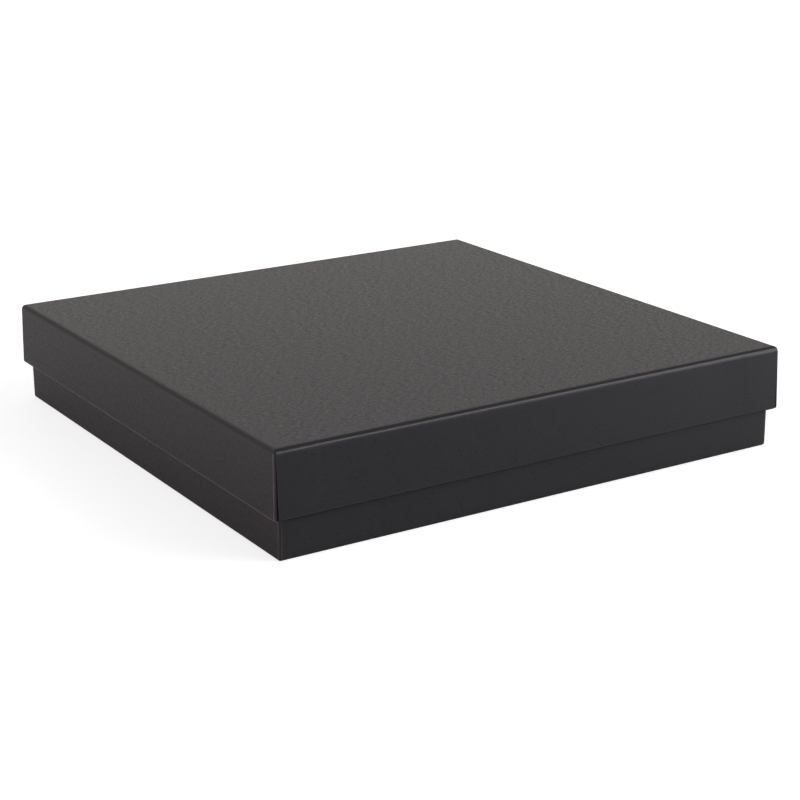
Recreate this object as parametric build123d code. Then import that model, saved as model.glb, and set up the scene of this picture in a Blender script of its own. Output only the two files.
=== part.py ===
from build123d import *
from dataclasses import dataclass
import os

# A square set-up gift box with a lift-off lid. Each half is a tray of scored greyboard, held at its
# corners by paper stays, wrapped in paper that turns in over the rim, and lined on its floor.
# The origin is the centre of the base's underside. Z is up, X and Y are along the sides, in mm.

# overall sizes
box_width = 200.0         # lid outside at its rim, along X
box_depth = 200.0         # lid outside at its rim, along Y
box_height = 36.5         # closed, underside to lid top
lid_depth = 22.5          # height of the lid's skirt outside
lid_flare = 0.5           # how far each side of the skirt leans out, top to rim
base_flare = 0.0          # the same for the base, floor to rim

# sheet materials
board_thickness = 1.5     # greyboard
paper_thickness = 0.15    # wrap
lining_thickness = 0.15   # loose sheet on the floor of each tray
tape_thickness = 0.12     # kraft paper corner stays

# fits between the lid and the base
side_clearance = 0.2      # each side, where the skirt is narrowest
seat_clearance = 0.1      # between the base's rim and the lid's lining

# folds and edges
score_depth = 1.2         # how deep the board is cut on the outside of each fold
edge_crush = 0.5          # how far the board's edges are pressed in beside an opened score
corner_radius = 0.8       # upright corners, outside the wrap
rim_radius = 0.5          # rim, outside the wrap
joint_gap = 0.1           # between the boards at each upright corner

# wrap, lining and stays
flap_width = 12.0         # how far the turn-in lies on the floor
lining_margin = 1.5       # between the lining's edge and the wall
stay_leg = 22.0           # how far each stay reaches along a wall
stay_margin = 1.0         # between the stay's end and the rim

# worked out from the sizes above
fold_radius = score_depth + edge_crush + paper_thickness
hinge_top = paper_thickness + score_depth
floor_top = paper_thickness + board_thickness
flap_top = floor_top + paper_thickness
lining_top = flap_top + lining_thickness
wall_thickness = board_thickness + 2 * paper_thickness
beyond = 1.0              # how far a cutting tool stands clear of what it cuts

sides = {"left": -1, "right": 1}
ends = {"front": -1, "rear": 1}


@dataclass
class Tray:
    """One half of the box, mouth up: its outside sizes at the floor, its height and its flare."""

    width: float
    depth: float
    height: float
    flare: float

    def size(self, along, inset, z):
        """The width or depth inside the outer faces by inset, at height z."""
        return along + 2 * (self.flare * z / self.height - inset)


def block(tray, low, high, inset_x, inset_y, corner=None):
    """What lies inside the tray's walls by the two insets, between two heights."""
    points = []
    for z in (low, high):
        x = tray.size(tray.width, inset_x, z) / 2
        y = tray.size(tray.depth, inset_y, z) / 2
        points += [(-x, -y, z), (x, -y, z), (x, y, z), (-x, y, z)]
    form = ConvexPolyhedron(points)
    if corner:
        uprights = form.edges().filter_by(lambda edge: abs(edge.tangent_at(0.5).Z) > 0.5)
        form = fillet(uprights, corner)
    return form


def envelope(tray, inset):
    """The tray's outer form, with each face moved in by inset. Its folds meet in mitres."""
    form = block(tray, inset, tray.height - inset, inset, inset)
    form = fillet(form.edges().group_by(Axis.Z)[0], fold_radius - inset)
    form = fillet(form.edges().group_by(Axis.Z)[-1], rim_radius - inset)
    return form & block(tray, 0, tray.height, inset, inset, corner_radius - inset)


def soften_mouth(solid, tray, height, inset, radius):
    """Rounds the inner edges of a rim at the given height, whose mouth is inset from outside."""
    reach_x = tray.size(tray.width, inset, height) / 2 + 0.01
    reach_y = tray.size(tray.depth, inset, height) / 2 + 0.01
    mouth = [
        edge
        for edge in solid.edges().filter_by_position(Axis.Z, height - 0.01, height + 0.01)
        if abs(edge.center().X) < reach_x and abs(edge.center().Y) < reach_y
    ]
    return fillet(mouth, radius)


def board_space(tray):
    """All that lies between the wrap's outer sheet and its turn-in."""
    space = envelope(tray, paper_thickness)
    space -= block(tray, floor_top, tray.height, floor_top, floor_top)
    rim = tray.height - paper_thickness
    return soften_mouth(space, tray, rim, floor_top, rim_radius - paper_thickness)


def make_stay(tray, side, end):
    """A strip of kraft paper bent round one upright corner, flush with the board."""
    low, high = fold_radius, tray.height - stay_margin
    outer = paper_thickness
    inner = paper_thickness + tape_thickness
    strip = block(tray, low, high, outer, outer, corner_radius - outer)
    strip -= block(tray, low, high, inner, inner, corner_radius - inner)
    reach = paper_thickness + stay_leg
    corner = Box(2 * reach, 2 * reach, 2 * tray.height)
    return strip & Pos(side * tray.width / 2, end * tray.depth / 2, 0) * corner


def make_board(tray, stays):
    """The greyboard blank, folded up: open scores under its edges, butt joints at its corners."""
    board = board_space(tray)
    score = block(tray, 0, hinge_top, -beyond, -beyond)
    board -= score - block(tray, 0, hinge_top, hinge_top, hinge_top)
    joints = block(tray, hinge_top, tray.height, floor_top, -beyond)
    joints -= block(tray, hinge_top, tray.height, floor_top + joint_gap, -2 * beyond)
    board -= joints - block(tray, hinge_top, tray.height, floor_top, floor_top)
    for stay in stays.values():
        board -= stay
    return board


def make_wrap(tray):
    """The paper: outer sheet, rim, turn-in down the walls, and flaps on the floor."""
    wrap = envelope(tray, 0) - board_space(tray)
    wrap -= block(tray, flap_top, tray.height, wall_thickness, wall_thickness)
    bare = wall_thickness + flap_width
    wrap -= block(tray, floor_top, tray.height, bare, bare)
    return soften_mouth(wrap, tray, tray.height, wall_thickness, rim_radius)


def make_lining(tray):
    """The lining sheet: it lies on the flaps, and steps down to the board inside them."""
    edge = wall_thickness + lining_margin
    bare = wall_thickness + flap_width
    step = bare + lining_thickness
    sheet = block(tray, flap_top, lining_top, edge, edge)
    sheet += block(tray, floor_top, lining_top, bare, bare)
    return sheet - block(tray, floor_top + lining_thickness, lining_top, step, step)


def make_tray(tray):
    """The seven pieces of one half of the box, by name, with its floor on Z = 0."""
    stays = {
        f"corner_stay_{end_name}_{side_name}": make_stay(tray, side, end)
        for end_name, end in ends.items()
        for side_name, side in sides.items()
    }
    return {
        "board": make_board(tray, stays),
        "wrap": make_wrap(tray),
        "lining": make_lining(tray),
        **stays,
    }


lid_tray = Tray(box_width - 2 * lid_flare, box_depth - 2 * lid_flare, lid_depth, lid_flare)

step_in = wall_thickness + side_clearance + base_flare
base_tray = Tray(
    lid_tray.width - 2 * step_in,
    lid_tray.depth - 2 * step_in,
    box_height - lining_top - seat_clearance,
    base_flare,
)

os.makedirs("parts", exist_ok=True)

for name, piece in make_tray(base_tray).items():
    export_step(piece, f"parts/base_{name}.step")

# the lid is a shallower tray turned over, with its floor on top
for name, piece in make_tray(lid_tray).items():
    turned = Pos(0, 0, box_height) * mirror(piece, about=Plane.XY)
    export_step(turned, f"parts/lid_{name}.step")
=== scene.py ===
import math
import bmesh
import bpy
from mathutils import Matrix, Vector, noise


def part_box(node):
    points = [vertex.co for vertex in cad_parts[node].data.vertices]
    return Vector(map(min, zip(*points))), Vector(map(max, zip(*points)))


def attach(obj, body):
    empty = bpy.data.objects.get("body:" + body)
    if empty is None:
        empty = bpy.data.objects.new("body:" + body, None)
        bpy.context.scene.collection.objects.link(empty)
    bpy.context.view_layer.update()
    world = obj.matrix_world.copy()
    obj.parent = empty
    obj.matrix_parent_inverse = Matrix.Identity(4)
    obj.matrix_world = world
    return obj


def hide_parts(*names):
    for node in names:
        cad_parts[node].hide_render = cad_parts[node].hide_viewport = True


# A square black gift box with a lift-off lid, standing closed on a pale floor.
# The board blanks and corner stays are the frame's own parts, and the paper is built here round them.

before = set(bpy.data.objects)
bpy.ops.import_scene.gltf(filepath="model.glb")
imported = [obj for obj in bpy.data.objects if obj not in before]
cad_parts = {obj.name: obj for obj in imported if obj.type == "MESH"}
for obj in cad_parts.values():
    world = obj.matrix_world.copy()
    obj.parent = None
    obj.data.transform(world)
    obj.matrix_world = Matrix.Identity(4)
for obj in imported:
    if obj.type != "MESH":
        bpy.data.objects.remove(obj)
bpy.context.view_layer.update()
mm = 0.001
print("frame loaded:", len(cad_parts), "parts")


def newMaterial(name):
    material = bpy.data.materials.new(name)
    material.use_nodes = True
    material.node_tree.nodes.clear()
    return material, material.node_tree.nodes, material.node_tree.links


def noiseNode(nodes, links, where, scale, detail=3.0, roughness=0.55):
    made = nodes.new("ShaderNodeTexNoise")
    made.inputs["Scale"].default_value = scale
    made.inputs["Detail"].default_value = detail
    made.inputs["Roughness"].default_value = roughness
    links.new(where, made.inputs["Vector"])
    return made.outputs["Fac"]


def stretched(nodes, links, where, scale):
    made = nodes.new("ShaderNodeMapping")
    made.inputs["Scale"].default_value = scale
    links.new(where, made.inputs["Vector"])
    return made.outputs["Vector"]


def ranged(nodes, links, value, low, high, toLow, toHigh):
    made = nodes.new("ShaderNodeMapRange")
    made.inputs["From Min"].default_value = low
    made.inputs["From Max"].default_value = high
    made.inputs["To Min"].default_value = toLow
    made.inputs["To Max"].default_value = toHigh
    links.new(value, made.inputs["Value"])
    return made.outputs["Result"]


def blended(nodes, links, share, first, second, mode="MIX"):
    made = nodes.new("ShaderNodeMix")
    made.data_type = "RGBA"
    made.blend_type = mode
    made.clamp_factor = True
    # for colours the node's factor and two inputs are 0, 6 and 7, and its result is 2
    for socket, value in ((made.inputs[0], share), (made.inputs[6], first), (made.inputs[7], second)):
        if isinstance(value, (tuple, list)):
            socket.default_value = (*value, 1.0)
        elif isinstance(value, float):
            socket.default_value = value
        else:
            links.new(value, socket)
    return made.outputs[2]


def worked(nodes, links, operation, first, second):
    made = nodes.new("ShaderNodeMath")
    made.operation = operation
    for socket, value in ((made.inputs[0], first), (made.inputs[1], second)):
        if isinstance(value, float):
            socket.default_value = value
        else:
            links.new(value, socket)
    return made.outputs[0]


def attribute(nodes, name, output="Fac"):
    made = nodes.new("ShaderNodeAttribute")
    made.attribute_name = name
    return made.outputs[output]


blackPaper = {
    "dark": (0.0175, 0.0172, 0.018),      # the two tones of the mottling
    "light": (0.0235, 0.023, 0.0235),
    "rubbed": (0.14, 0.13, 0.13),         # fibres shown where an edge is worn, and a painted highlight where the rim's edge catches light
    "cutEdge": (0.12, 0.115, 0.11),       # paler colour along a cut edge
    "roughness": (0.23, 0.65),
    "pressed": 0.30,                      # roughness where the paper is pressed over a fold
    "shine": 0.43,
    "fibreBump": 0.014 * mm,
    "clothBump": 0.016 * mm,
}

# painted shade: a near-black, duller copy of the same paper, put where no light reaches it, down a gap or
# under an edge
paintedShadePaper = dict(blackPaper, dark=(0.004, 0.004, 0.004), light=(0.006, 0.006, 0.006),
                   roughness=(0.7, 0.8), shine=0.08)

liningPaper = {
    "dark": (0.028, 0.0275, 0.029),
    "light": (0.036, 0.0355, 0.037),
    "rubbed": (0.05, 0.05, 0.05),
    "cutEdge": (0.12, 0.118, 0.115),
    "roughness": (0.62, 0.74),
    "pressed": 0.65,
    "shine": 0.35,
    "fibreBump": 0.015 * mm,
    "clothBump": 0.02 * mm,
}

# the grain that all three papers share, with its noises in features per metre of sheet
paperGrain = {
    "along": (0.35, 1.0, 1.0),    # draws the fibres out along X
    "clouds": 60.0,
    "fibres": 2200.0,
    "specks": 1900.0,
    "blotches": 1300.0,
    "middle": (0.3, 0.7),         # where most of a noise's values lie
    "fibreTone": 0.8,             # how much of the mottling comes from the fibres
    "cloudTone": 0.2,
    "speckEdge": (0.35, 0.65),
    "wearAndHighlightShare": (0.2, 0.9),           # how much a worn edge and its painted highlight pale, between the specks and on them
    "evenness": (1.1, 1.9),       # fibres, specks and blotches added up, from the roughest to the smoothest
}


# Fibres run along the sheet's own X, so they carry on round each fold.
def makePaper(name, finish):
    material, nodes, links = newMaterial(name)
    sheet = attribute(nodes, "sheet", "Vector")
    grain = stretched(nodes, links, sheet, paperGrain["along"])
    clouds = noiseNode(nodes, links, sheet, paperGrain["clouds"], detail=4.0, roughness=0.6)
    fibres = noiseNode(nodes, links, grain, paperGrain["fibres"], detail=2.0, roughness=0.6)
    specks = noiseNode(nodes, links, sheet, paperGrain["specks"], detail=1.0)
    blotches = noiseNode(nodes, links, grain, paperGrain["blotches"], detail=2.0, roughness=0.6)
    unevenness = worked(nodes, links, "ADD", worked(nodes, links, "ADD", fibres, specks), blotches)

    fibreTone = ranged(nodes, links, fibres, *paperGrain["middle"], 0.0, paperGrain["fibreTone"])
    cloudTone = ranged(nodes, links, clouds, *paperGrain["middle"], 0.0, paperGrain["cloudTone"])
    tone = worked(nodes, links, "ADD", fibreTone, cloudTone)
    colour = blended(nodes, links, tone, finish["dark"], finish["light"])
    # paler where an edge is worn, and partly a painted highlight along the rim's edge
    wearAndHighlightShare = worked(nodes, links, "MULTIPLY", attribute(nodes, "rub"),
                  ranged(nodes, links, specks, *paperGrain["speckEdge"], *paperGrain["wearAndHighlightShare"]))
    colour = blended(nodes, links, wearAndHighlightShare, colour, finish["rubbed"])
    colour = blended(nodes, links, attribute(nodes, "cut"), colour, finish["cutEdge"])

    smooth, rough = finish["roughness"]
    matt = ranged(nodes, links, unevenness, *paperGrain["evenness"], rough, smooth)
    matt = blended(nodes, links, attribute(nodes, "polish"), matt, (finish["pressed"],) * 3)

    fine = nodes.new("ShaderNodeBump")
    fine.inputs["Strength"].default_value = 1.0
    fine.inputs["Distance"].default_value = finish["fibreBump"]
    links.new(fibres, fine.inputs["Height"])
    coarse = nodes.new("ShaderNodeBump")
    coarse.inputs["Strength"].default_value = 1.0
    coarse.inputs["Distance"].default_value = finish["clothBump"]
    links.new(specks, coarse.inputs["Height"])
    links.new(fine.outputs["Normal"], coarse.inputs["Normal"])

    shader = nodes.new("ShaderNodeBsdfPrincipled")
    shader.inputs["Specular IOR Level"].default_value = finish["shine"]
    links.new(colour, shader.inputs["Base Color"])
    links.new(matt, shader.inputs["Roughness"])
    links.new(coarse.outputs["Normal"], shader.inputs["Normal"])
    output = nodes.new("ShaderNodeOutputMaterial")
    links.new(shader.outputs["BSDF"], output.inputs["Surface"])
    return material


wrapPaper = makePaper("black_wrap_paper", blackPaper)
paintedShadeWrap = makePaper("painted_shade_wrap_paper", paintedShadePaper)
liningSheet = makePaper("black_lining_paper", liningPaper)


greyboard = {
    "pulp": (0.25, 0.235, 0.21),
    "pale": (0.36, 0.34, 0.305),
    "fleck": (0.09, 0.085, 0.08),
    "roughness": (0.82, 0.95),
    "bump": 0.04 * mm,
    "fleckSize": 1.6 * mm,
}

kraftPaper = {
    "pulp": (0.36, 0.225, 0.115),
    "pale": (0.47, 0.315, 0.175),
    "fleck": (0.2, 0.12, 0.06),
    "roughness": (0.6, 0.8),
    "bump": 0.015 * mm,
    "fleckSize": 2.4 * mm,
}

pulpGrain = {
    "along": (0.4, 1.0, 1.0),     # draws the fibres out along X
    "clouds": 120.0,              # features per metre
    "fibres": 1100.0,
    "middle": (0.3, 0.7),
    "mottle": (0.7, 1.3),         # clouds and fibres added up, from pulp to pale
    "fleckEdge": (0.66, 0.72),
    "fleckShows": 0.7,
}


def makePulp(name, finish):
    material, nodes, links = newMaterial(name)
    places = nodes.new("ShaderNodeTexCoord").outputs["Object"]
    grain = stretched(nodes, links, places, pulpGrain["along"])
    clouds = noiseNode(nodes, links, places, pulpGrain["clouds"], detail=4.0, roughness=0.6)
    fibres = noiseNode(nodes, links, grain, pulpGrain["fibres"], detail=4.0, roughness=0.65)
    flecks = noiseNode(nodes, links, grain, 1.0 / finish["fleckSize"], detail=2.0)
    mottle = worked(nodes, links, "ADD", clouds, fibres)
    mottle = ranged(nodes, links, mottle, *pulpGrain["mottle"], 0.0, 1.0)
    colour = blended(nodes, links, mottle, finish["pulp"], finish["pale"])
    flecked = ranged(nodes, links, flecks, *pulpGrain["fleckEdge"], 0.0, pulpGrain["fleckShows"])
    colour = blended(nodes, links, flecked, colour, finish["fleck"])
    low, high = finish["roughness"]
    bump = nodes.new("ShaderNodeBump")
    bump.inputs["Distance"].default_value = finish["bump"]
    links.new(fibres, bump.inputs["Height"])
    shader = nodes.new("ShaderNodeBsdfPrincipled")
    links.new(colour, shader.inputs["Base Color"])
    matt = ranged(nodes, links, clouds, *pulpGrain["middle"], low, high)
    links.new(matt, shader.inputs["Roughness"])
    links.new(bump.outputs["Normal"], shader.inputs["Normal"])
    output = nodes.new("ShaderNodeOutputMaterial")
    links.new(shader.outputs["BSDF"], output.inputs["Surface"])
    return material


boardMaterial = makePulp("raw_greyboard", greyboard)
stayMaterial = makePulp("brown_kraft", kraftPaper)
for name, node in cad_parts.items():
    if "board" in name or "stay" in name:
        node.data.materials.clear()
        node.data.materials.append(boardMaterial if "board" in name else stayMaterial)
print("materials made")


wrap = {
    "paper": 0.15 * mm,
    "rim": 0.5 * mm,
    "corner": 0.8 * mm,        # upright corners
    "tightest": 0.18 * mm,     # how sharp a mitred corner gets
    "wall": 1.8 * mm,          # board between two layers of paper
    "board": 1.65 * mm,        # floor board with the paper under it
    "flap": 12.0 * mm,         # turn-in on the floor
    "inside": 0.6 * mm,        # paper bridging the inside corner of wall and floor
    "panelEdge": 0.35 * mm,    # flat margin beside the fold
    "flapEdge": 0.02 * mm,     # how far the flap's cut edge is pressed down
    "backBridge": 0.1 * mm,
    "wallStops": (0.02, 0.2, 0.35, 0.5, 0.65, 0.8, 0.98),    # rings up the wall, from fold to rim
    "insideStops": (0.98, 0.66, 0.34, 0.02),                 # and down inside it, from rim to floor
    "flapStops": (0.05, 0.5, 0.98),
    "foldSteps": 14,
    "rimSteps": 6,
    "backRimSteps": 3,
    "backFoldSteps": 6,
    "foldRub": 0.12,           # how worn the paper is on the fold
    "insideRub": 0.7,          # and on the inner edge of the rim
    "lappedRub": 0.2,          # wear and painted highlight on the rims of the lapped sides, compared with the other two
    "cornerRub": 0.15,
    "foldWave": 0.4,           # unevenness at the fold, compared with the middle of the wall
    "rimWave": 0.3,
    "mouthWave": 0.2,
}

sideSteps = 7          # stations from a corner's last one to the middle of a side
cornerSteps = 8
deepFrom = 0.9         # share of a gap's full depth past which the paper gets painted shade, where no light reaches
sharpAngle = 35.0      # degrees; steeper breaks stay crisp
waveScale = 28.0       # waves per metre in the paper's unevenness

# what a ring of the sheet carries unless it says otherwise
plainRing = {"inset": 0.0, "z": 0.0, "out": (0.0, 0.0), "lap": 0.0, "gap": 0.0, "rub": 0.0, "polish": 0.0,
             "wave": 0.0, "cut": 0.0, "deep": False, "depth": 0.0}

# front and rear panels lie over the tabs that come round from the side panels
overlap = {
    "tab": 15.0 * mm,          # how far a tab reaches from the corner
    "overBoard": 0.04 * mm,
    "inside": 0.2,             # share of that where it lies inside the tray
    "gapDepth": 0.11 * mm,
    "gapSlope": 0.03 * mm,     # how far the sides of the gap slope
    "cutFade": (0.02 * mm, 0.1 * mm, 0.25 * mm),    # where the pale cut edge is full, fading and gone
    "flatFrom": 0.35,          # share of the tab past which it lies flat
    "ease": 1.0 * mm,          # length of the slope down off a tab
}

halves = {
    "lid": {
        "name": "lid_wrap_paper",
        "node": "lid_wrap",
        "fold": 1.85 * mm,     # outside radius where the panel turns down into the wall
        "flare": 0.5 * mm,     # how far each wall leans out from floor to rim
        "wave": 0.04 * mm,     # how uneven the walls are
        "dip": 0.015 * mm,     # how far the panel sinks in places
        "gap": (0.08 * mm, 0.62 * mm),  # bare strip beside each corner, at the fold and at the rim
        "overTab": 0.12 * mm,  # how proud the panel stands over a tab
        "cutShows": 0.3,       # how much of the panel's pale cut edge is seen beside it
        "shaded": True,        # painted shade down the gaps, and under the rim beside them
        "turned": True,
        "seed": 3.1,
    },
    "base": {
        "name": "base_wrap_paper",
        "node": "base_wrap",
        "fold": 1.0 * mm,
        "flare": 0.0,
        "wave": 0.04 * mm,
        "dip": 0.08 * mm,
        "gap": (0.08 * mm, 0.1 * mm),
        "overTab": 0.07 * mm,
        "cutShows": 1.0,
        "shaded": False,
        "turned": False,
        "seed": 8.4,
    },
}


# The face of the paper, ring by ring, from the panel round the fold, up the wall, over the rim and
# down inside to the end of the flap. out is the direction out of the paper: sideways, then up.
def outerRings(half):
    r, height, rim, wall = half["fold"], half["height"], wrap["rim"], wrap["wall"]
    inside = overlap["inside"]
    rings = []

    def ring(inset, z, out, **more):
        rings.append(dict(plainRing, inset=inset, z=z, out=out, lap=1.0, gap=1.0, depth=1.0) | more)

    for i in range(wrap["foldSteps"] + 1):
        turn = i / wrap["foldSteps"]
        angle = turn * math.pi / 2
        ring(r * (1 - math.sin(angle)), r * (1 - math.cos(angle)), (math.sin(angle), -math.cos(angle)),
             lap=turn, gap=0.0, depth=turn, rub=wrap["foldRub"] * math.sin(2 * angle) ** 2,
             polish=min(1.0, 2 * math.sin(2 * angle)), wave=wrap["foldWave"] * turn)
    for share in wrap["wallStops"]:
        ring(0.0, r + (height - rim - r) * share, (1.0, 0.0), gap=share,
             wave=wrap["foldWave"] + (1 - wrap["foldWave"]) * math.sin(math.pi * share))
    # over the rim: its outer edge is painted pale, partly wear and partly a painted highlight where it
    # catches light, and past its first two rings the underside is marked for painted shade
    for i in range(wrap["rimSteps"] + 1):
        angle = i / wrap["rimSteps"] * math.pi / 2
        ring(rim * (1 - math.cos(angle)), height - rim * (1 - math.sin(angle)),
             (math.cos(angle), math.sin(angle)), rub=max(0.0, math.cos(3 * angle)) ** 0.5,
             deep=i > 1, wave=wrap["rimWave"])
    for i in range(wrap["rimSteps"] + 1):
        angle = i / wrap["rimSteps"] * math.pi / 2
        ring(wall - rim * (1 - math.sin(angle)), height - rim * (1 - math.cos(angle)),
             (-math.sin(angle), math.cos(angle)), lap=1 - (1 - inside) * i / wrap["rimSteps"],
             rub=wrap["insideRub"] * math.sin(2 * angle), wave=wrap["mouthWave"])
    top, bridge = wrap["board"] + wrap["paper"], wrap["inside"]
    for share in wrap["insideStops"]:
        ring(wall, top + bridge + (height - rim - top - bridge) * share, (-1.0, 0.0), lap=inside,
             wave=wrap["rimWave"])
    for i in range(wrap["rimSteps"] + 1):
        angle = i / wrap["rimSteps"] * math.pi / 2
        ring(wall + bridge * (1 - math.cos(angle)), top + bridge * (1 - math.sin(angle)),
             (-math.cos(angle), math.sin(angle)), lap=inside)
    for share in wrap["flapStops"]:
        ring(wall + bridge + (wrap["flap"] - bridge) * share, top, (0.0, 1.0), lap=inside)
    ring(wall + wrap["flap"], top - wrap["flapEdge"], (0.0, 1.0), lap=inside, cut=1.0)
    return rings


# The back of the paper, against the board, from the flap's end to the middle of the panel.
def innerRings(half):
    height, rim, paper, board = half["height"], wrap["rim"], wrap["paper"], wrap["board"]
    backRim, backFold = rim - paper, half["fold"] - paper
    rimSteps, foldSteps = wrap["backRimSteps"], wrap["backFoldSteps"]
    places = [(wrap["wall"] + wrap["flap"], board), (wrap["wall"], board),
              (board, board + wrap["backBridge"]), (board, height - rim)]
    for i in range(1, rimSteps + 1):
        angle = i / rimSteps * math.pi / 2
        places.append((board - backRim * (1 - math.cos(angle)), height - rim + backRim * math.sin(angle)))
    for i in range(rimSteps + 1):
        angle = i / rimSteps * math.pi / 2
        places.append((paper + backRim * (1 - math.sin(angle)), height - rim + backRim * math.cos(angle)))
    for i in range(foldSteps + 1):
        angle = (1 - i / foldSteps) * math.pi / 2
        places.append((paper + backFold * (1 - math.sin(angle)), half["fold"] - backFold * math.cos(angle)))
    rings = [dict(plainRing, inset=inset, z=z) for inset, z in places]
    rings[0]["cut"] = 1.0
    return rings


# Stations along one side of a ring, each a distance from its end and what the lap does there.
def stations(length, radius, ring, half, lapped):
    if lapped:
        gapLow, gapHigh = half["gap"]
        gap = gapLow + (gapHigh - gapLow) * ring["gap"]
        ease, tab, slope = overlap["ease"], overlap["tab"], overlap["gapSlope"]
        over, bare = half["overTab"], overlap["overBoard"]
        full, fading, gone = overlap["cutFade"]
        edge = radius + gap
        near = [(radius, 0.0, 0.0), (radius + slope, -1.0, 0.0), (edge - slope, -1.0, 0.0),
                (edge, -1.0, 0.0), (edge + full, over, 1.0), (edge + fading, over, 0.6),
                (edge + gone, over, 0.0), (overlap["flatFrom"] * tab, over, 0.0), (tab - ease, over, 0.0),
                (tab - 0.3 * ease, 0.7 * over + 0.3 * bare, 0.0),
                (tab + 0.3 * ease, 0.3 * over + 0.7 * bare, 0.0), (tab + ease, bare, 0.0)]
        flat = bare
    else:
        near = [(radius, 0.0, 0.0), (radius + 0.5 * mm, 0.0, 0.0), (radius + 4.0 * mm, 0.0, 0.0)]
        flat = 0.0
    start = near[-1][0]
    for i in range(1, sideSteps):
        near.append((start + (length / 2 - start) * i / sideSteps, flat, 0.0))
    middle = [(length / 2, flat, 0.0)]
    far = [(length - along, lift, cut) for along, lift, cut in reversed(near)]
    return near + middle + far


def liftOf(lift, ring):
    if lift < 0:
        return -overlap["gapDepth"] * ring["depth"]
    return lift * ring["lap"]


# Corners of each side in order round the tray: start, direction along, outward direction, lapped or not.
sidesRound = (
    ((1, -1), (0, 1), (1, 0), False),
    ((1, 1), (-1, 0), (0, 1), True),
    ((-1, 1), (0, -1), (-1, 0), False),
    ((-1, -1), (1, 0), (0, -1), True),
)


# The points of one ring, counterclockwise, each with its place on the flat sheet.
def ringPoints(halfX, halfY, ring, half, reach):
    lean = half["flare"] * ring["z"] / half["height"]
    x, y = halfX + lean - ring["inset"], halfY + lean - ring["inset"]
    radius = max(half["corner"] - ring["inset"], half["tightest"])
    outFlat, outUp = ring["out"]
    points = []

    def place(px, py, side, lift, cut, lapped, rubMore=0.0):
        spot = Vector((px, py, ring["z"])) * waveScale + Vector((half["seed"], 0, 0))
        # painted shade: points down a lapped gap, or on the rim's underside, are marked for the dark shaded
        # paper
        deep = half["shaded"] and lapped and (ring["deep"] or (lift < 0 and ring["depth"] > deepFrom))
        lift = liftOf(lift, ring) + ring["wave"] * half["wave"] * noise.noise(spot)
        points.append({
            "at": (px + side[0] * outFlat * lift, py + side[1] * outFlat * lift, ring["z"] + outUp * lift),
            "sheet": (px + side[0] * reach, py + side[1] * reach, 0.0),
            "rub": min(1.0, ring["rub"] * (half["lappedRub"] if lapped else 1.0) + rubMore),
            "cut": max(cut * half["cutShows"] * ring["depth"], ring["cut"]),
            "deep": deep,
            "polish": ring["polish"],
        })

    for corner, along, side, front in sidesRound:
        length = 2 * (y if along[1] else x)
        for distance, lift, cut in stations(length, radius, ring, half, front and half["lapped"]):
            px = corner[0] * x + along[0] * distance
            py = corner[1] * y + along[1] * distance
            place(px, py, side, lift, cut, front)
        centreX = (side[0] + along[0]) * (x - radius)
        centreY = (side[1] + along[1]) * (y - radius)
        for i in range(1, cornerSteps):
            angle = i / cornerSteps * math.pi / 2
            toward = (side[0] * math.cos(angle) + along[0] * math.sin(angle),
                      side[1] * math.cos(angle) + along[1] * math.sin(angle))
            place(centreX + toward[0] * radius, centreY + toward[1] * radius, toward, 0.0, 0.0, False,
                  half["cornerRub"] * ring["depth"])
    return points


# A flat panel as a grid whose border has the same stations as the rings.
def addPanel(verts, faces, x, y, z, half, dip):
    flat = dict(plainRing, gap=0.0)
    acrossX = [s[0] - x for s in stations(2 * x, 0.0, flat, half, half["lapped"])]
    acrossY = [s[0] - y for s in stations(2 * y, 0.0, flat, half, False)]
    start, columns, rows = len(verts), len(acrossX), len(acrossY)
    for py in acrossY:
        for px in acrossX:
            fade = (1 - (px / x) ** 4) * (1 - (py / y) ** 4)
            sink = dip * fade * (0.5 + 0.5 * noise.noise(Vector((px, py, half["seed"])) * waveScale))
            verts.append({"at": (px, py, z + sink), "sheet": (px, py, 0.0), "rub": 0.0, "cut": 0.0,
                          "deep": False, "polish": 0.0})
    for j in range(rows - 1):
        for i in range(columns - 1):
            a = start + j * columns + i
            faces.append((a, a + 1, a + columns + 1, a + columns))
    return [
        [start + j * columns + columns - 1 for j in range(rows)],
        [start + (rows - 1) * columns + i for i in range(columns - 1, -1, -1)],
        [start + j * columns for j in range(rows - 1, -1, -1)],
        [start + i for i in range(columns)],
    ]


# Joins a panel's border to a ring, with a small fan of triangles at each corner.
def joinPanel(faces, borders, ringStart, count):
    place = ringStart
    for border in borders:
        for a, b in zip(border, border[1:]):
            faces.append((a, b, place + 1, place))
            place += 1
        for _ in range(cornerSteps):
            after = ringStart + (place + 1 - ringStart) % count
            faces.append((border[-1], after, place))
            place += 1


# A closed sheet: a panel, rings out to its edge and back, and the panel's other face.
def buildSheet(half, rings, halfX, halfY, panelInset, panelZ, backZ, dip):
    verts, faces = [], []
    x, y = halfX - panelInset, halfY - panelInset
    borders = addPanel(verts, faces, x, y, panelZ, half, dip)
    travelled, before, starts, count = 0.0, None, [], 0
    for ring in rings:
        if before:
            travelled += math.hypot(ring["inset"] - before["inset"], ring["z"] - before["z"])
        points = ringPoints(halfX, halfY, ring, half, travelled + ring["inset"] - rings[0]["inset"])
        starts.append(len(verts))
        count = len(points)
        verts.extend(points)
        before = ring
    joinPanel(faces, borders, starts[0], count)
    for a, b in zip(starts, starts[1:]):
        for i in range(count):
            j = (i + 1) % count
            faces.append((a + i, a + j, b + j, b + i))
    joinPanel(faces, addPanel(verts, faces, x, y, backZ, half, dip), starts[-1], count)
    return verts, faces


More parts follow.
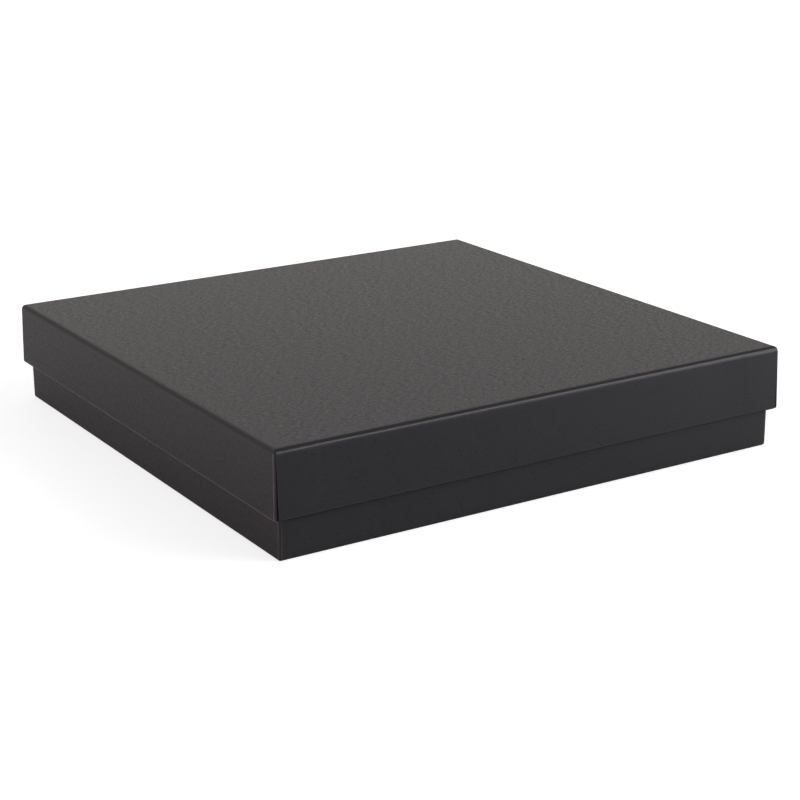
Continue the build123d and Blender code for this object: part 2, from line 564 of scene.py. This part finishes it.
# The lid's sheets are made mouth up like the base's, then turned over.
def makePiece(half, verts, faces, materials):
    if half["turned"]:
        top = half["low"] + half["height"]
        for vert in verts:
            vert["at"] = (vert["at"][0], vert["at"][1], top - vert["at"][2])
    mesh = bpy.data.meshes.new(half["name"])
    mesh.from_pydata([vert["at"] for vert in verts], [], faces)
    for word in ("rub", "cut", "polish"):
        made = mesh.attributes.new(word, "FLOAT", "POINT")
        made.data.foreach_set("value", [vert[word] for vert in verts])
    made = mesh.attributes.new("sheet", "FLOAT_VECTOR", "POINT")
    made.data.foreach_set("vector", [c for vert in verts for c in vert["sheet"]])
    shell = bmesh.new()
    shell.from_mesh(mesh)
    bmesh.ops.recalc_face_normals(shell, faces=shell.faces)
    shell.to_mesh(mesh)
    shell.free()
    mesh.shade_smooth()
    mesh.set_sharp_from_angle(angle=math.radians(sharpAngle))
    for material in materials:
        mesh.materials.append(material)
    # faces marked all round for painted shade take the dark shaded paper
    if len(materials) > 1:
        for face in mesh.polygons:
            face.material_index = int(all(verts[i]["deep"] for i in face.vertices))
    piece = bpy.data.objects.new(half["name"], mesh)
    bpy.context.scene.collection.objects.link(piece)
    return piece


# Reads the outside sizes of a wrap from the frame: half sizes at the floor, height and lowest point.
def readSizes(half):
    low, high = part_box(half["node"])
    half["height"] = high.z - low.z
    half["low"] = low.z
    lean = half["flare"] * (half["height"] - wrap["rim"]) / half["height"]
    return (high.x - low.x) / 2 - lean, (high.y - low.y) / 2 - lean


for body, half in halves.items():
    half.update(lapped=True, corner=wrap["corner"], tightest=wrap["tightest"],
                lappedRub=wrap["lappedRub"], cornerRub=wrap["cornerRub"])
    halfX, halfY = readSizes(half)
    rings = outerRings(half) + innerRings(half)
    verts, faces = buildSheet(half, rings, halfX, halfY, half["fold"] + wrap["panelEdge"], 0.0,
                              wrap["paper"], half["dip"])
    piece = makePiece(half, verts, faces, (wrapPaper, paintedShadeWrap))
    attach(piece, body)
    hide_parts(half["node"])
    print(half["name"], len(faces), "faces")


lining = {
    "paper": 0.15 * mm,
    "margin": 1.5 * mm,       # between the sheet's edge and the wall
    "corner": 0.5 * mm,
    "stepFrom": 1.2 * mm,     # how far before the flap's end the sheet starts to sink
    "stepOver": 3.2 * mm,
    "steps": 10,
    "stops": (0.66, 0.33),    # rings from the step out to the edge
    "nearEdge": 0.4 * mm,
    "edgeRound": 0.03 * mm,
    "panelEdge": 1.0 * mm,    # flat margin inside the step
}

liningHalves = {
    "lid": {
        "name": "lid_lining_sheet",
        "node": "lid_lining",
        "wrapNode": "lid_wrap",
        "turned": True,
        "seed": 5.7,
    },
    "base": {
        "name": "base_lining_sheet",
        "node": "base_lining",
        "wrapNode": "base_wrap",
        "turned": False,
        "seed": 1.9,
    },
}


# The sheet from its middle out along the upper face, round the edge and back below, mouth up.
def liningRings(stepIn):
    low = wrap["board"] + lining["paper"]
    high = low + wrap["paper"]
    upper = []
    for i in range(lining["steps"] + 1):
        share = i / lining["steps"]
        smooth = share * share * (3 - 2 * share)
        upper.append((stepIn - lining["stepOver"] * share, low + (high - low) * smooth))
    upper += [(share * stepIn, high) for share in lining["stops"]]
    upper += [(inset, high) for inset in (lining["nearEdge"], lining["edgeRound"])]
    lower = [(inset, z - lining["paper"]) for inset, z in reversed(upper)]
    edge = [(0.0, high - lining["edgeRound"]), (0.0, high - lining["paper"] + lining["edgeRound"])]
    rings = [dict(plainRing, inset=inset, z=z) for inset, z in upper + edge + lower]
    for ring in rings[len(upper) - 1:len(upper) + 3]:
        ring["cut"] = 1.0
    return rings


for body, half in liningHalves.items():
    half.update(lapped=False, corner=lining["corner"], tightest=lining["corner"], flare=0.0, wave=0.0,
                shaded=False, cutShows=1.0, lappedRub=1.0, cornerRub=0.0)
    low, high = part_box(half["wrapNode"])
    half["height"], half["low"] = high.z - low.z, low.z
    sheetLow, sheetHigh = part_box(half["node"])
    halfX, halfY = (sheetHigh.x - sheetLow.x) / 2, (sheetHigh.y - sheetLow.y) / 2
    stepIn = wrap["flap"] - lining["margin"] + lining["stepOver"] - lining["stepFrom"]
    floor = wrap["board"] + lining["paper"]
    verts, faces = buildSheet(half, liningRings(stepIn), halfX, halfY, stepIn + lining["panelEdge"], floor,
                              floor - lining["paper"], 0.0)
    piece = makePiece(half, verts, faces, (liningSheet,))
    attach(piece, body)
    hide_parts(half["node"])
    print(half["name"], len(faces), "faces")


floorLook = {
    "size": 9.0,              # metres across
    "wallTop": 4.5,
    "curve": 1.0,             # radius where the sweep turns up into its wall
    "curveSteps": 8,
    "segments": 64,
    "colour": (0.80, 0.80, 0.80),
    "mottle": (0.77, 0.77, 0.77),
    "mottleScale": 9.0,       # clouds per metre
    "glow": 0.75,             # lifts the sheet that the camera sees towards white
    "shadeAt": (-0.06, -0.23, 0.0),   # painted shade: the floor below is darker round here, off the near corner
    "shadeReach": (0.03, 0.30),       # where that shade starts to lift, and where it ends
    "shade": (0.30, 1.15),            # the floor's brightness at those two distances
    "roughness": 0.75,
    "shine": 0.2,
    "drop": 0.02 * mm,        # below the box, so that the two never share a face
}


# The camera sees a white paper sweep, and only a dimmer floor below it throws light back on the box.
def floorMaterial(name, glow, shaded):
    material, nodes, links = newMaterial(name)
    places = nodes.new("ShaderNodeTexCoord").outputs["Object"]
    clouds = noiseNode(nodes, links, places, floorLook["mottleScale"])
    colour = blended(nodes, links, clouds, floorLook["colour"], floorLook["mottle"])
    # painted shade on the hidden floor, darkest off the near corner, so the box's faces reflect less light
    # there
    if shaded:
        away = nodes.new("ShaderNodeVectorMath")
        away.operation = "DISTANCE"
        away.inputs[1].default_value = floorLook["shadeAt"]
        links.new(places, away.inputs[0])
        shade = ranged(nodes, links, away.outputs["Value"], *floorLook["shadeReach"], *floorLook["shade"])
        colour = blended(nodes, links, 1.0, colour, shade, "MULTIPLY")
    shader = nodes.new("ShaderNodeBsdfPrincipled")
    links.new(colour, shader.inputs["Base Color"])
    shader.inputs["Roughness"].default_value = floorLook["roughness"]
    shader.inputs["Specular IOR Level"].default_value = floorLook["shine"]
    shader.inputs["Emission Color"].default_value = (1.0, 1.0, 1.0, 1.0)
    shader.inputs["Emission Strength"].default_value = glow
    output = nodes.new("ShaderNodeOutputMaterial")
    links.new(shader.outputs["BSDF"], output.inputs["Surface"])
    return material


def placeStage(name, verts, faces, material, drop):
    mesh = bpy.data.meshes.new(name)
    mesh.from_pydata(verts, [], faces)
    mesh.materials.append(material)
    mesh.shade_smooth()
    piece = bpy.data.objects.new(name, mesh)
    bpy.context.scene.collection.objects.link(piece)
    piece.location.z = -drop
    return piece


# A round sheet that turns up into a wall at its edge.
def makeSweep():
    reach, curve, count = floorLook["size"] / 2, floorLook["curve"], floorLook["segments"]
    steps, profile = floorLook["curveSteps"], []
    for i in range(steps + 1):
        angle = i / steps * math.pi / 2
        profile.append((reach - curve * (1 - math.sin(angle)), curve * (1 - math.cos(angle))))
    profile.append((reach, floorLook["wallTop"]))
    verts, faces = [], [tuple(range(count))]
    for radius, z in profile:
        for i in range(count):
            angle = i / count * 2 * math.pi
            verts.append((radius * math.cos(angle), radius * math.sin(angle), z))
    for ring in range(len(profile) - 1):
        for i in range(count):
            a, b = ring * count + i, ring * count + (i + 1) % count
            faces.append((a, a + count, b + count, b))
    material = floorMaterial("white_sweep", floorLook["glow"], False)
    sweep = placeStage("white_sweep", verts, faces, material, floorLook["drop"])
    sweep.data.polygons[0].use_smooth = False
    sweep.visible_diffuse = False
    sweep.visible_glossy = False
    sweep.visible_shadow = False


def makeFloor():
    reach = floorLook["size"] / 2
    corners = [(-reach, -reach, 0), (reach, -reach, 0), (reach, reach, 0), (-reach, reach, 0)]
    material = floorMaterial("floor", 0.0, True)
    placeStage("floor", corners, [(0, 1, 2, 3)], material, 2 * floorLook["drop"])


makeSweep()
makeFloor()
print("floor placed")


# A dim room with bright panels round it, far enough off to light the floor evenly. Each panel has its
# bearing (degrees, 0 along X, 90 along Y), its width, the heights of its edges above level, and its strength.
studio = {
    "room": (0.26, 0.26, 0.26),
    "softEdge": 7.0,
    "panels": {
        "rear": {"bearing": 58, "width": 62, "heights": (-8, 12), "strength": (1.44, 1.29, 1.28)},
        "rearHigh": {"bearing": 58, "width": 62, "heights": (24, 38), "strength": (0.47, 0.42, 0.40)},
        "right": {"bearing": -22, "width": 46, "heights": (-8, 14), "strength": (8.6, 8.35, 9.5)},
        "frontRight": {"bearing": -45, "width": 40, "heights": (24, 41), "strength": (4.0, 3.95, 4.2)},
        "left": {"bearing": 178, "width": 62, "heights": (-8, 4), "strength": (25.4, 21.0, 22.2)},
    },
}


def makeStudio():
    world = bpy.data.worlds.new("studio")
    bpy.context.scene.world = world
    world.use_nodes = True
    nodes, links = world.node_tree.nodes, world.node_tree.links
    nodes.clear()
    direction = nodes.new("ShaderNodeTexCoord").outputs["Generated"]
    split = nodes.new("ShaderNodeSeparateXYZ")
    links.new(direction, split.inputs["Vector"])
    level = nodes.new("ShaderNodeVectorMath")
    level.operation = "MULTIPLY"
    level.inputs[1].default_value = (1, 1, 0)
    links.new(direction, level.inputs[0])
    bearing = nodes.new("ShaderNodeVectorMath")
    bearing.operation = "NORMALIZE"
    links.new(level.outputs[0], bearing.inputs[0])
    soft = studio["softEdge"]

    def edge(value, low, high):
        made = nodes.new("ShaderNodeMapRange")
        made.interpolation_type = "SMOOTHSTEP"
        made.inputs["From Min"].default_value = low
        made.inputs["From Max"].default_value = high
        links.new(value, made.inputs["Value"])
        return made.outputs["Result"]

    light = studio["room"]
    for panel in studio["panels"].values():
        toward = math.radians(panel["bearing"])
        facing = nodes.new("ShaderNodeVectorMath")
        facing.operation = "DOT_PRODUCT"
        facing.inputs[1].default_value = (math.cos(toward), math.sin(toward), 0)
        links.new(bearing.outputs[0], facing.inputs[0])
        outer, inner = (math.cos(math.radians(panel["width"] / 2 + turn)) for turn in (soft / 2, -soft / 2))
        across = edge(facing.outputs["Value"], outer, inner)
        low, high = panel["heights"]
        bottomEnds = [math.sin(math.radians(low + turn)) for turn in (-soft / 2, soft / 2)]
        topEnds = [math.sin(math.radians(high + turn)) for turn in (soft / 2, -soft / 2)]
        bottom = edge(split.outputs["Z"], *bottomEnds)
        top = edge(split.outputs["Z"], *topEnds)
        share = worked(nodes, links, "MULTIPLY", across, worked(nodes, links, "MULTIPLY", bottom, top))
        glow = blended(nodes, links, share, (0.0, 0.0, 0.0), panel["strength"])
        light = blended(nodes, links, 1.0, light, glow, "ADD")
    background = nodes.new("ShaderNodeBackground")
    links.new(light, background.inputs["Color"])
    output = nodes.new("ShaderNodeOutputWorld")
    links.new(background.outputs["Background"], output.inputs["Surface"])


makeStudio()
bpy.context.scene.view_settings.view_transform = "Standard"


view = {
    "turn": -32.12,        # degrees round from straight in front
    "height": 17.90,       # degrees above level
    "roll": -0.372,
    "distance": 0.6937,
    "right": 5.83 * mm,
    "up": 7.24 * mm,
    "lens": 84.82,
    "nearClip": 0.01,
}


def makeCamera():
    turn, height, roll = (math.radians(view[word]) for word in ("turn", "height", "roll"))
    back = Vector((math.sin(turn) * math.cos(height), -math.cos(turn) * math.cos(height), math.sin(height)))
    right = Vector((math.cos(turn), math.sin(turn), 0))
    up = back.cross(right)
    place = back * view["distance"] + right * view["right"] + up * view["up"]
    rolledRight = math.cos(roll) * right + math.sin(roll) * up
    rolledUp = math.cos(roll) * up - math.sin(roll) * right
    lens = bpy.data.cameras.new("camera")
    lens.lens = view["lens"]
    lens.clip_start = view["nearClip"]
    camera = bpy.data.objects.new("camera", lens)
    facing = Matrix((rolledRight, rolledUp, back)).transposed().to_4x4()
    camera.matrix_world = Matrix.Translation(place) @ facing
    bpy.context.scene.collection.objects.link(camera)
    bpy.context.scene.camera = camera


makeCamera()
print("studio ready")
